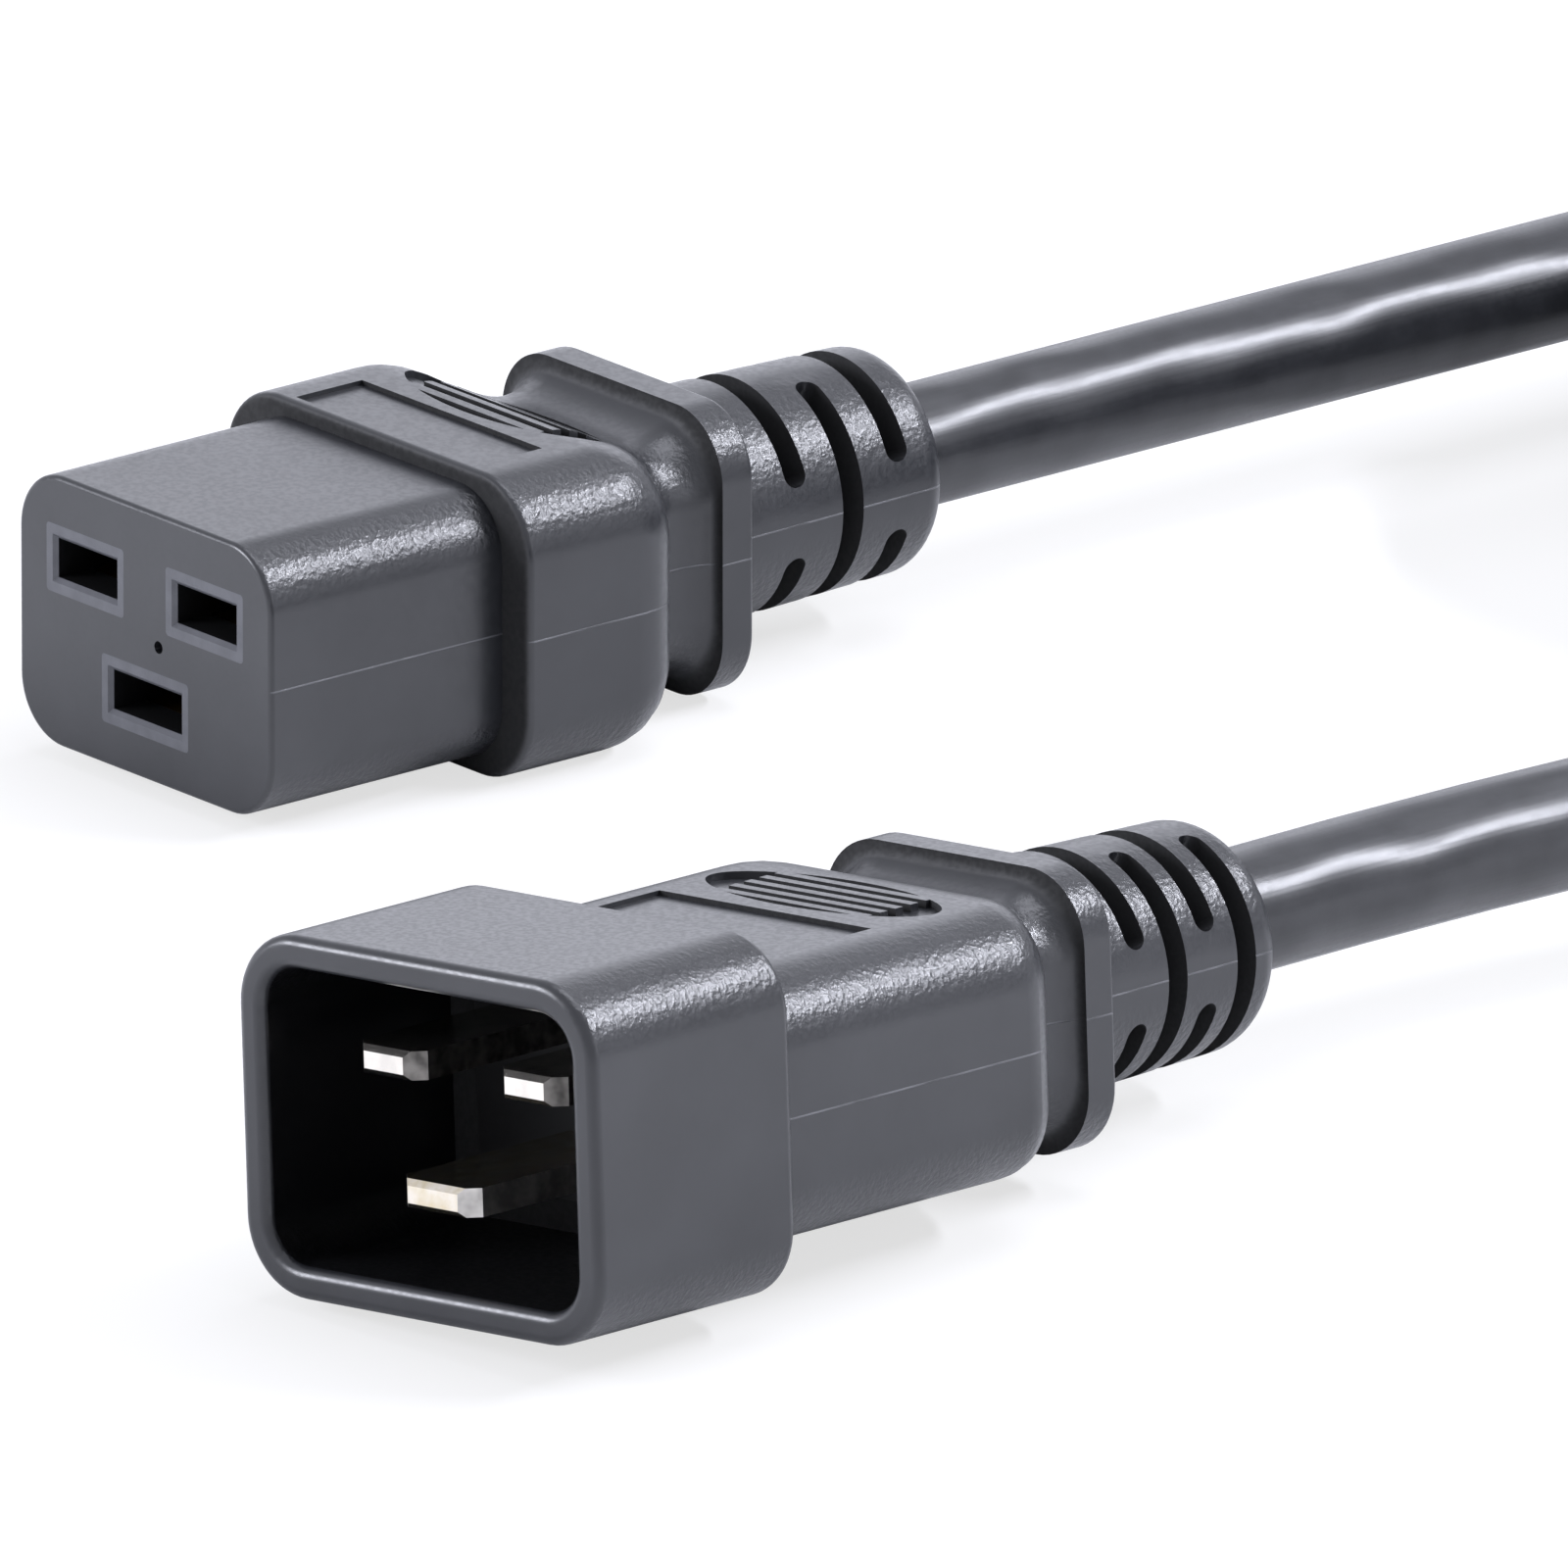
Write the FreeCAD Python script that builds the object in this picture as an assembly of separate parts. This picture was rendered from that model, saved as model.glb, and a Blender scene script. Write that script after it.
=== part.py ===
import FreeCAD, Part
import math
import os
from collections import namedtuple

# A three-conductor power extension cord: a moulded socket connector on one end, a moulded
# shrouded plug connector on the other, and the round cable between them with its spare
# length coiled. Lengths are in millimetres and angles in degrees.
# Each connector is modelled with its mating face at the origin, +Y running back along the
# connector towards the cable, +X across it and +Z up, and is then laid in its place.

# Mating pattern shared by the two connectors.
PIN_PITCH = 13.0
LIVE_ROW_Z = 3.8
EARTH_ROW_Z = -4.2
BLADE_THICKNESS = 2.0
LIVE_BLADE_WIDTH = 6.0
EARTH_BLADE_WIDTH = 7.0
BLADE_TIP_CHAMFER = 1.2
BLADE_TIP_BEVEL = 0.4
LIVE_TIP_INSET = 3.7
EARTH_TIP_INSET = 1.3

# Nose of the socket connector and the openings in its face.
NOSE_WIDTH = 27.5
NOSE_HEIGHT = 19.6
NOSE_CORNER = 4.5
NOSE_LENGTH = 20.5
NOSE_FRONT_ROUND = 0.4
SLOT_SIDE_PLAY = 0.25
SLOT_THICK_PLAY = 0.43
SLOT_LEAD_IN = 0.3
NOZZLE_RIM = 0.95
NOZZLE_RIM_HEIGHT = 1.05
NOZZLE_CORNER = 0.3
VENT_RADIUS = 0.45
VENT_X = 1.5
VENT_Z = 0.2
VENT_DEPTH = 1.6

# Shroud of the plug connector.
NOSE_PLAY = 0.45
SHROUD_WALL = 2.3
SHROUD_CORNER = 5.3
RECESS_CORNER = 3.0
SHROUD_LENGTH = 19.3
SHROUD_DEPTH = 18.3
RIM_ROUND = 0.8
SHROUD_REAR_ROUND = 0.8

# Body, waist, flange and boot.
SOCKET_BODY_WIDTH = 33.2
PLUG_BODY_WIDTH = 31.9
BODY_CORNER = 5.5
BODY_FRONT_ROUND = 0.6
SOCKET_BODY_HEIGHT = 22.0
PLUG_BODY_HEIGHT = 19.0
SOCKET_WAIST_AT = 38.2
PLUG_WAIST_AT = 49.3
WAIST_WIDTH = 21.1
SOCKET_WAIST_HEIGHT = 16.9
PLUG_WAIST_HEIGHT = 16.0
WAIST_CORNER = 4.6
WAIST_TO_FLANGE = 3.4
STATION_SPACING = 0.15
SIDE_SHOULDER_RADIUS = 4.4
SIDE_SHOULDER_TURN = 80.0
TOP_SHOULDER_RADIUS = 8.0
TOP_SHOULDER_TURN = 33.0
SHOULDER_STEPS = (0.2, 0.4, 0.6, 0.8, 1.0)
SWEEP_STEPS = (20.0, 40.0, 56.0, 70.0, 81.0, 90.0)
FLANGE_WIDTH = 24.0
SOCKET_FLANGE_HEIGHT = 21.0
PLUG_FLANGE_HEIGHT = 19.9
FLANGE_CORNER = 5.0
FLANGE_THICKNESS = 2.8
FLANGE_ROUND = 0.35
FLANGE_LIP = 0.3
BOOT_LENGTH = 21.0
BOOT_BASE_RADIUS = 8.6
BOOT_END_RADIUS = 8.1
BOOT_END_ROUND = 2.0
BOOT_SLEEVE = 0.8

# Flexing slots round the boot: distance of each station behind the flange.
SOCKET_SLOT_STATIONS = (7.2, 12.0, 16.5)
PLUG_SLOT_STATIONS = (6.6, 10.2, 13.7, 17.2)
BOOT_SLOT_WIDTH = 1.9
BOOT_SLOT_SWEEP = 144.0

# Sunk panel and finger grip on the top of each body.
PANEL_WIDTH = 19.6
SOCKET_PANEL_END = 27.3
PLUG_PANEL_END = 34.3
PANEL_START = 0.3
PANEL_DEPTH = 0.35
GRIP_WIDTH = 20.5
GRIP_LENGTH = 8.2
GRIP_DEPTH = 0.55
GRIP_RIB_PITCH = 1.5
GRIP_RIB_WIDTH = 0.75
GRIP_RIB_COUNT = 5
GRIP_RIB_LENGTH = 14.0
SOCKET_GRIP_AT = 32.4
PLUG_GRIP_AT = 40.0

# Rigid carriers that hold the metal parts inside each moulding.
CARRIER_SKIN = 1.3
CARRIER_CORNER = 3.2
NOZZLE_LENGTH = 3.0
SOCKET_CARRIER_END = 21.5
CARRIER_CAP_THICKNESS = 2.5
CHAMBER_PLAY = 0.2
PLUG_CARRIER_LENGTH = 7.0
PLUG_CARRIER_MARGIN = 2.2

# Inner moulding that fills in behind each carrier.
INNER_MOULD_INSET = 0.6
INNER_MOULD_STRAIGHT = 6.5
INNER_MOULD_TAPER = 8.0
INNER_MOULD_TAIL = 4.5
INNER_MOULD_TAIL_SIZE = 12.6
INNER_MOULD_TAIL_CORNER = 5.0

# Sprung contacts in the socket, and the crimps on every terminal.
SHEET = 0.5
CONTACT_START = 3.6
CONTACT_LENGTH = 13.8
CONTACT_WIDTH_OVER = 0.6
CONTACT_MOUTH = 3.2
CONTACT_PINCH = 1.9
CONTACT_WALL_LENGTH = 5.5
TAIL_WIDTH = 2.6
TERMINAL_GAP = 0.7
WIRE_CRIMP_LENGTH = 3.6
INSULATION_CRIMP_LENGTH = 2.8
CRIMP_SPACING = 0.6
WIRE_CRIMP_WALL = 0.6
CRIMP_SEAM = 0.3

# Cable.
CORD_DIAMETER = 8.8
CORE_DIAMETER = 3.3
CONDUCTOR_DIAMETER = 1.9
CORE_LAY_RADIUS = 1.95
CORE_FAN_SHARE = 0.4
CORE_CLEAR = 0.1
BEND_SHARE = 0.45
SOCKET_JACKET_START = 43.0
PLUG_JACKET_START = 49.0

# Where the connectors lie. The socket connector points along -Y. The plug connector is
# turned a little about the vertical, rolled a little about its own length, and its tail
# droops, so that it lies on the rear corner of its shroud.
SOCKET_X = -50.952
SOCKET_Y = -2.129
PLUG_X = 50.62
PLUG_Y = -60.96
PLUG_YAW = 7.0
PLUG_DROOP = 3.0
PLUG_ROLL = 5.2

# The coil of spare cable and the bent leg from the plug to it.
COIL_RADIUS = 51.5
COIL_BUNDLE_RADIUS = 7.9
COIL_STRANDS = 5
COIL_TURNS = 4.5
COIL_Y = 165.0
PLUG_STRAIGHT_RUN = 61.0
PLUG_LEG_BEND = (55.0, 107.0, 12.8)

# The poles, and the side of the socket's face that each stands on.
CONTACTS = (("line", -1), ("neutral", 1), ("earth", 0))
TOLERANCE = 1e-4

# What differs between the outsides of the two mouldings. Places are behind the face.
Form = namedtuple("Form", "width height waist_height flange_height waist_at slots panel_end grip_at")
SOCKET_FORM = Form(SOCKET_BODY_WIDTH, SOCKET_BODY_HEIGHT, SOCKET_WAIST_HEIGHT, SOCKET_FLANGE_HEIGHT,
                   SOCKET_WAIST_AT, SOCKET_SLOT_STATIONS, SOCKET_PANEL_END, SOCKET_GRIP_AT)
PLUG_FORM = Form(PLUG_BODY_WIDTH, PLUG_BODY_HEIGHT, PLUG_WAIST_HEIGHT, PLUG_FLANGE_HEIGHT,
                 PLUG_WAIST_AT, PLUG_SLOT_STATIONS, PLUG_PANEL_END, PLUG_GRIP_AT)


# Plain shapes.


def rounded_wire(width, height, corner, y):
    """Closed rounded rectangle standing across the length at y."""
    a, b = width / 2, height / 2
    mid = corner * (1 - math.sqrt(0.5))

    def at(x, z):
        return FreeCAD.Vector(x, y, z)

    edges = [
        Part.LineSegment(at(a, corner - b), at(a, b - corner)),
        Part.Arc(at(a, b - corner), at(a - mid, b - mid), at(a - corner, b)),
        Part.LineSegment(at(a - corner, b), at(corner - a, b)),
        Part.Arc(at(corner - a, b), at(mid - a, b - mid), at(-a, b - corner)),
        Part.LineSegment(at(-a, b - corner), at(-a, corner - b)),
        Part.Arc(at(-a, corner - b), at(mid - a, mid - b), at(corner - a, -b)),
        Part.LineSegment(at(corner - a, -b), at(a - corner, -b)),
        Part.Arc(at(a - corner, -b), at(a - mid, mid - b), at(a, corner - b)),
    ]
    return Part.Wire([edge.toShape() for edge in edges])


def rounded_bar(width, height, corner, start, end):
    """Bar of rounded rectangular section from y = start to y = end."""
    face = Part.Face(rounded_wire(width, height, corner, start))
    return face.extrude(FreeCAD.Vector(0, end - start, 0))


def block(x, z, width, height, start, end):
    """Square-cornered block centred on x, z from y = start to y = end."""
    corner = FreeCAD.Vector(x - width / 2, start, z - height / 2)
    return Part.makeBox(width, end - start, height, corner)


def rod(x, z, radius, start, end):
    """Round rod along the length, centred on x, z."""
    base = FreeCAD.Vector(x, start, z)
    return Part.makeCylinder(radius, end - start, base, FreeCAD.Vector(0, 1, 0))


def edges_in_plane(shape, y):
    """Edges that lie wholly in the plane across the length at y."""
    found = []
    for edge in shape.Edges:
        box = edge.BoundBox
        if abs(box.YMin - y) < TOLERANCE and abs(box.YMax - y) < TOLERANCE:
            found.append(edge)
    return found


def fused(shapes):
    """One clean solid out of several that meet."""
    return shapes[0].multiFuse(shapes[1:]).removeSplitter()


def bend_radius(before, corner, after):
    """Largest arc radius that the two runs at a corner leave room for."""
    back, ahead = before - corner, after - corner
    turn = math.pi - back.getAngle(ahead)
    return BEND_SHARE * min(back.Length, ahead.Length) / math.tan(turn / 2)


def route_wire(points):
    """Straight runs along the points, joined by tangent arcs."""
    edges = []
    start = points[0]
    for before, corner, after in zip(points, points[1:], points[2:]):
        back, ahead = before - corner, after - corner
        reach = BEND_SHARE * min(back.Length, ahead.Length)
        back.normalize()
        ahead.normalize()
        arc_start = corner + back * reach
        arc_end = corner + ahead * reach
        radius = bend_radius(before, corner, after)
        inward = (back + ahead).normalize()
        centre = corner + inward * math.hypot(radius, reach)
        arc_middle = centre - inward * radius
        edges.append(Part.LineSegment(start, arc_start).toShape())
        edges.append(Part.Arc(arc_start, arc_middle, arc_end).toShape())
        start = arc_end
    edges.append(Part.LineSegment(start, points[-1]).toShape())
    return Part.Wire(edges)


def swept(points, radius, hole=0.0):
    """Round rod or tube along a route."""
    ahead = points[1] - points[0]
    ring = Part.Face(Part.Wire(Part.makeCircle(radius, points[0], ahead)))
    if hole:
        bore = Part.Face(Part.Wire(Part.makeCircle(hole, points[0], ahead)))
        ring = ring.cut(bore).Faces[0]
    return route_wire(points).makePipe(ring)


# Sizes worked out from the driving dimensions.


def recess_size():
    """Inside of the shroud, which takes the nose with its play all round."""
    return NOSE_WIDTH + 2 * NOSE_PLAY, NOSE_HEIGHT + 2 * NOSE_PLAY


def shroud_size():
    """Outside of the shroud."""
    width, height = recess_size()
    return width + 2 * SHROUD_WALL, height + 2 * SHROUD_WALL


def carrier_size():
    """Section of the socket's carrier, one skin inside the nose."""
    return NOSE_WIDTH - 2 * CARRIER_SKIN, NOSE_HEIGHT - 2 * CARRIER_SKIN


def pin_place(name, side):
    """Cross position and blade width of one pole of the mating pattern."""
    if name == "earth":
        return 0.0, EARTH_ROW_Z, EARTH_BLADE_WIDTH
    return side * PIN_PITCH / 2, LIVE_ROW_Z, LIVE_BLADE_WIDTH


def flange_start(form):
    return form.waist_at + WAIST_TO_FLANGE


def boot_start(form):
    return flange_start(form) + FLANGE_THICKNESS


def boot_end(form):
    return boot_start(form) + BOOT_LENGTH


# The outside of a moulding.


def waist_profile(y, full, waist, flange, radius, turn, waist_at):
    """Half size at y: a round shoulder off the body, a hollow at the waist, then a sweep out."""
    if y >= waist_at:
        out = min((y - waist_at) / WAIST_TO_FLANGE, 1.0)
        return waist + (flange - FLANGE_LIP - waist) * (1 - math.sqrt(1 - out * out))
    turn = math.radians(turn)
    arcs = (full - waist) / (1 - math.cos(turn))
    hollow = arcs - radius
    start = waist_at - arcs * math.sin(turn)
    if y <= start:
        return full
    if y <= start + radius * math.sin(turn):
        return full - radius + math.sqrt(radius ** 2 - (y - start) ** 2)
    return waist + hollow - math.sqrt(hollow ** 2 - (waist_at - y) ** 2)


def half_width(y, form):
    return waist_profile(y, form.width / 2, WAIST_WIDTH / 2, FLANGE_WIDTH / 2,
                         SIDE_SHOULDER_RADIUS, SIDE_SHOULDER_TURN, form.waist_at)


def half_height(y, form):
    return waist_profile(y, form.height / 2, form.waist_height / 2, form.flange_height / 2,
                         TOP_SHOULDER_RADIUS, TOP_SHOULDER_TURN, form.waist_at)


def shoulder_stations(form):
    """Where the sections of the shoulder, waist and sweep stand, in order and not crowded."""
    waist_at = form.waist_at
    side = (form.width - WAIST_WIDTH) / 2 / (1 - math.cos(math.radians(SIDE_SHOULDER_TURN)))
    top = (form.height - form.waist_height) / 2 / (1 - math.cos(math.radians(TOP_SHOULDER_TURN)))
    side_start = waist_at - side * math.sin(math.radians(SIDE_SHOULDER_TURN))
    top_start = waist_at - top * math.sin(math.radians(TOP_SHOULDER_TURN))
    turns = [math.radians(SIDE_SHOULDER_TURN * share) for share in SHOULDER_STEPS]
    convex = [side_start + SIDE_SHOULDER_RADIUS * math.sin(turn) for turn in turns]
    concave = [waist_at - (side - SIDE_SHOULDER_RADIUS) * math.sin(turn) for turn in turns[:-1]]
    sweep = [waist_at + WAIST_TO_FLANGE * math.sin(math.radians(step)) for step in SWEEP_STEPS]
    early = [top_start, (top_start + side_start) / 2, side_start]
    stations = []
    for y in sorted(early + convex + concave + [waist_at] + sweep):
        if not stations or y - stations[-1] > STATION_SPACING:
            stations.append(y)
    return stations[:-1] + [flange_start(form)]


def corner_radius(y, form):
    """Corner radius of the section at y, easing from body to waist to flange."""
    if y >= form.waist_at:
        share = min((y - form.waist_at) / WAIST_TO_FLANGE, 1.0)
        return WAIST_CORNER + (FLANGE_CORNER - WAIST_CORNER) * share
    full, waist = form.width / 2, WAIST_WIDTH / 2
    share = (full - half_width(y, form)) / (full - waist)
    return BODY_CORNER + (WAIST_CORNER - BODY_CORNER) * share


def body_outside(start, form, front_round):
    """Body from its front face, through shoulder and waist, to the front of the flange."""
    stations = shoulder_stations(form)
    body = rounded_bar(form.width, form.height, BODY_CORNER, start, stations[0])
    if front_round:
        body = body.makeFillet(front_round, edges_in_plane(body, start))
    sections = []
    for y in stations:
        width, height = 2 * half_width(y, form), 2 * half_height(y, form)
        sections.append(rounded_wire(width, height, corner_radius(y, form), y))
    return body.fuse(Part.makeLoft(sections, True, True))


def flange(form):
    start, end = flange_start(form), boot_start(form)
    plate = rounded_bar(FLANGE_WIDTH, form.flange_height, FLANGE_CORNER, start, end)
    return plate.makeFillet(FLANGE_ROUND, edges_in_plane(plate, end))


def boot_slot(station, middle_angle):
    """Cutter for one slot: part of a ring with round ends, from the sleeve outwards."""
    floor = CORD_DIAMETER / 2 + BOOT_SLEEVE
    outside = BOOT_BASE_RADIUS + BOOT_SLOT_WIDTH
    half = BOOT_SLOT_WIDTH / 2
    end_share = math.degrees(math.asin(half / BOOT_BASE_RADIUS))
    sweep = BOOT_SLOT_SWEEP - 2 * end_share
    corners = [(floor, -half), (outside, -half), (outside, half), (floor, half), (floor, -half)]
    outline = Part.makePolygon([FreeCAD.Vector(r, station + y, 0) for r, y in corners])
    centre, along = FreeCAD.Vector(0, 0, 0), FreeCAD.Vector(0, 1, 0)
    ring = Part.Face(outline).revolve(centre, along, sweep)
    cutter = [ring]
    for angle in (0.0, sweep):
        end = Part.makeCylinder(half, outside, FreeCAD.Vector(0, station, 0), FreeCAD.Vector(1, 0, 0))
        end.rotate(centre, along, angle)
        cutter.append(end)
    cutter = fused(cutter).cut(rod(0, 0, floor, station - 2 * half, station + 2 * half))
    cutter.rotate(centre, along, -sweep / 2 - middle_angle)
    return cutter


def boot(form):
    """Tapered round boot with a rounded end and rows of slots, alternate rows turned."""
    start, end = boot_start(form), boot_end(form)
    bend = BOOT_END_ROUND * (1 - math.sqrt(0.5))
    base = FreeCAD.Vector(BOOT_BASE_RADIUS, start, 0)
    round_start = FreeCAD.Vector(BOOT_END_RADIUS, end - BOOT_END_ROUND, 0)
    round_middle = FreeCAD.Vector(BOOT_END_RADIUS - bend, end - bend, 0)
    round_end = FreeCAD.Vector(BOOT_END_RADIUS - BOOT_END_ROUND, end, 0)
    axis_end, axis_start = FreeCAD.Vector(0, end, 0), FreeCAD.Vector(0, start, 0)
    outline = Part.Wire([
        Part.LineSegment(axis_start, base).toShape(),
        Part.LineSegment(base, round_start).toShape(),
        Part.Arc(round_start, round_middle, round_end).toShape(),
        Part.LineSegment(round_end, axis_end).toShape(),
        Part.LineSegment(axis_end, axis_start).toShape(),
    ])
    body = Part.Face(outline).revolve(FreeCAD.Vector(0, 0, 0), FreeCAD.Vector(0, 1, 0), 360)
    for row, station in enumerate(form.slots):
        first = 90 if row % 2 == 0 else 0
        for middle_angle in (first, first + 180):
            body = body.cut(boot_slot(start + station, middle_angle))
    return body


def sunk_panel(outside, edge, form):
    """Cutter for the shallow panel behind the front edge, whose floor follows the surface."""
    start = edge + PANEL_START
    prism = block(0, form.height / 2, PANEL_WIDTH, 4 * PANEL_DEPTH, start, form.panel_end)
    return prism.cut(outside.translated(FreeCAD.Vector(0, 0, -PANEL_DEPTH)))


def finger_grip(outside, form):
    """Cutter for an oval hollow on the top, crossed by ribs left at the full height."""
    height, middle = form.height, form.grip_at
    prism = Part.makeCylinder(1.0, height / 2, FreeCAD.Vector(0, 0, height / 4))
    shape = FreeCAD.Matrix()
    shape.scale(FreeCAD.Vector(GRIP_WIDTH / 2, GRIP_LENGTH / 2, 1))
    prism = prism.transformGeometry(shape).translated(FreeCAD.Vector(0, middle, 0))
    first = middle - GRIP_RIB_PITCH * (GRIP_RIB_COUNT - 1) / 2
    for number in range(GRIP_RIB_COUNT):
        y = first + number * GRIP_RIB_PITCH
        prism = prism.cut(block(0, height / 2, GRIP_RIB_LENGTH, height,
                                y - GRIP_RIB_WIDTH / 2, y + GRIP_RIB_WIDTH / 2))
    return prism.cut(outside.translated(FreeCAD.Vector(0, 0, -GRIP_DEPTH)))


def moulding_outside(front, body_start, form, front_round=0.0):
    """Whole outside of a connector, solid, with its panel, grip and slotted boot.

    The socket's body has a rounded front edge; the plug's runs into the back of the shroud.
    """
    body = body_outside(body_start, form, front_round)
    marks = [sunk_panel(body, body_start + front_round, form), finger_grip(body, form)]
    body = body.cut(marks)
    tail = fused([flange(form), boot(form)])
    return fused([front, body, tail])


# Metal parts, cores and the inner mouldings behind the carriers.


def crimp_start(carrier_end):
    return carrier_end + TERMINAL_GAP


def crimp_end(carrier_end):
    return crimp_start(carrier_end) + WIRE_CRIMP_LENGTH + CRIMP_SPACING + INSULATION_CRIMP_LENGTH


def crimp_outside(x, z, start):
    """Outer shape of the wire barrel and the wider barrel that grips the insulation."""
    wire_end = start + WIRE_CRIMP_LENGTH
    grip_start = wire_end + CRIMP_SPACING
    wire_radius = CONDUCTOR_DIAMETER / 2 + WIRE_CRIMP_WALL
    grip_radius = CORE_DIAMETER / 2 + SHEET
    floor = z - wire_radius
    return fused([
        rod(x, z, wire_radius, start, wire_end),
        block(x, floor + SHEET / 2, TAIL_WIDTH / 2, SHEET, wire_end - SHEET, grip_start + SHEET),
        rod(x, z, grip_radius, grip_start, grip_start + INSULATION_CRIMP_LENGTH),
    ])


def crimp_hollow(x, z, start):
    """What the crimps close round: the wire, the insulated core, and the open seam on top."""
    wire_end = start + WIRE_CRIMP_LENGTH
    grip_start = wire_end + CRIMP_SPACING
    end = grip_start + INSULATION_CRIMP_LENGTH
    return fused([
        rod(x, z, CONDUCTOR_DIAMETER / 2, start - SHEET, grip_start),
        rod(x, z, CORE_DIAMETER / 2, grip_start, end + SHEET),
        block(x, z + CORE_DIAMETER, CRIMP_SEAM, 2 * CORE_DIAMETER, start - SHEET, end + SHEET),
    ])


def contact_leaf(x, z, width, flip):
    """One bowed leaf of a sprung contact, of even thickness."""
    start, end = CONTACT_START, CONTACT_START + CONTACT_LENGTH
    middle = (start + end) / 2

    def at(y, height):
        return FreeCAD.Vector(x - width / 2, y, z + flip * height)

    mouth, pinch = CONTACT_MOUTH / 2, CONTACT_PINCH / 2
    inner = Part.Arc(at(start, mouth), at(middle, pinch), at(end, mouth))
    outer = Part.Arc(at(start, mouth + SHEET), at(middle, pinch + SHEET), at(end, mouth + SHEET))
    outline = Part.Wire([
        inner.toShape(),
        Part.LineSegment(at(end, mouth), at(end, mouth + SHEET)).toShape(),
        outer.toShape(),
        Part.LineSegment(at(start, mouth + SHEET), at(start, mouth)).toShape(),
    ])
    return Part.Face(outline).extrude(FreeCAD.Vector(width, 0, 0))


def socket_contact_outside(name, side):
    """Folded contact with two bowed leaves, a joining side wall, a tail and the crimps."""
    x, z, blade = pin_place(name, side)
    width = blade + CONTACT_WIDTH_OVER
    end = CONTACT_START + CONTACT_LENGTH
    height = CONTACT_MOUTH + 2 * SHEET
    carrier_end = SOCKET_CARRIER_END + CARRIER_CAP_THICKNESS
    wall_x = x + width / 2 - SHEET / 2
    floor = z - height / 2 + SHEET / 2
    rear = crimp_start(carrier_end)
    step_floor = z - CONDUCTOR_DIAMETER / 2 - WIRE_CRIMP_WALL
    return fused([
        contact_leaf(x, z, width, 1),
        contact_leaf(x, z, width, -1),
        block(wall_x, z, SHEET, height, end - CONTACT_WALL_LENGTH, end + SHEET),
        block(x, floor, width, SHEET, end - SHEET / 2, end + SHEET),
        block(x, floor, TAIL_WIDTH, SHEET, end, rear),
        block(x, (floor + step_floor) / 2, TAIL_WIDTH, abs(step_floor - floor) + SHEET,
              rear - SHEET, rear),
        block(x, step_floor + SHEET / 2, TAIL_WIDTH / 2, SHEET, rear - SHEET, rear + SHEET),
        crimp_outside(x, z, rear),
    ])


def plug_blade_outside(name, side):
    """Flat blade with a chamfered and bevelled tip, a narrower tail and the crimps."""
    x, z, width = pin_place(name, side)
    tip = EARTH_TIP_INSET if name == "earth" else LIVE_TIP_INSET
    carrier_end = SHROUD_DEPTH + PLUG_CARRIER_LENGTH
    half = width / 2
    outline = [(-half, carrier_end), (-half, tip + BLADE_TIP_CHAMFER),
               (BLADE_TIP_CHAMFER - half, tip), (half - BLADE_TIP_CHAMFER, tip),
               (half, tip + BLADE_TIP_CHAMFER), (half, carrier_end), (-half, carrier_end)]
    bottom = z - BLADE_THICKNESS / 2
    wire = Part.makePolygon([FreeCAD.Vector(x + dx, y, bottom) for dx, y in outline])
    blade = Part.Face(wire).extrude(FreeCAD.Vector(0, 0, BLADE_THICKNESS))
    tip_edges = [edge for edge in edges_in_plane(blade, tip) if edge.Length > BLADE_THICKNESS + TOLERANCE]
    blade = blade.makeChamfer(BLADE_TIP_BEVEL, tip_edges)
    rear = crimp_start(carrier_end)
    floor = z - CONDUCTOR_DIAMETER / 2 - WIRE_CRIMP_WALL + SHEET / 2
    tail_top = z + BLADE_THICKNESS / 2
    tail_middle = (floor - SHEET / 2 + tail_top) / 2
    return fused([
        blade,
        block(x, tail_middle, TAIL_WIDTH, tail_top - floor + SHEET / 2, carrier_end, rear),
        crimp_outside(x, z, rear),
    ])


def core_route(name, side, carrier_end, jacket_start):
    """Way of one core from the jacket's end to its crimp, fanning out on two bends."""
    x, z, _ = pin_place(name, side)
    lay = math.radians(270 if name == "earth" else 90 - 60 * side)
    lay_x, lay_z = CORE_LAY_RADIUS * math.cos(lay), CORE_LAY_RADIUS * math.sin(lay)
    end = crimp_end(carrier_end) - INSULATION_CRIMP_LENGTH
    bend = end + INSULATION_CRIMP_LENGTH / (1 - BEND_SHARE) + CORE_CLEAR
    fan = jacket_start - CORE_FAN_SHARE * (jacket_start - bend)
    return [
        FreeCAD.Vector(lay_x, jacket_start, lay_z),
        FreeCAD.Vector(lay_x, fan, lay_z),
        FreeCAD.Vector(x, bend, z),
        FreeCAD.Vector(x, end, z),
    ]


def cored_wire(name, side, carrier_end, jacket_start):
    """Insulation and conductor of one core, and both together; the conductor's end is bare."""
    route = core_route(name, side, carrier_end, jacket_start)
    outside = swept(route, CORE_DIAMETER / 2)
    core = swept(route, CORE_DIAMETER / 2, CONDUCTOR_DIAMETER / 2)
    wire = swept(route, CONDUCTOR_DIAMETER / 2)
    end = route[-1]
    bare = rod(end.x, end.z, CONDUCTOR_DIAMETER / 2, crimp_start(carrier_end), end.y)
    return core, fused([wire, bare]), fused([outside, bare])


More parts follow.
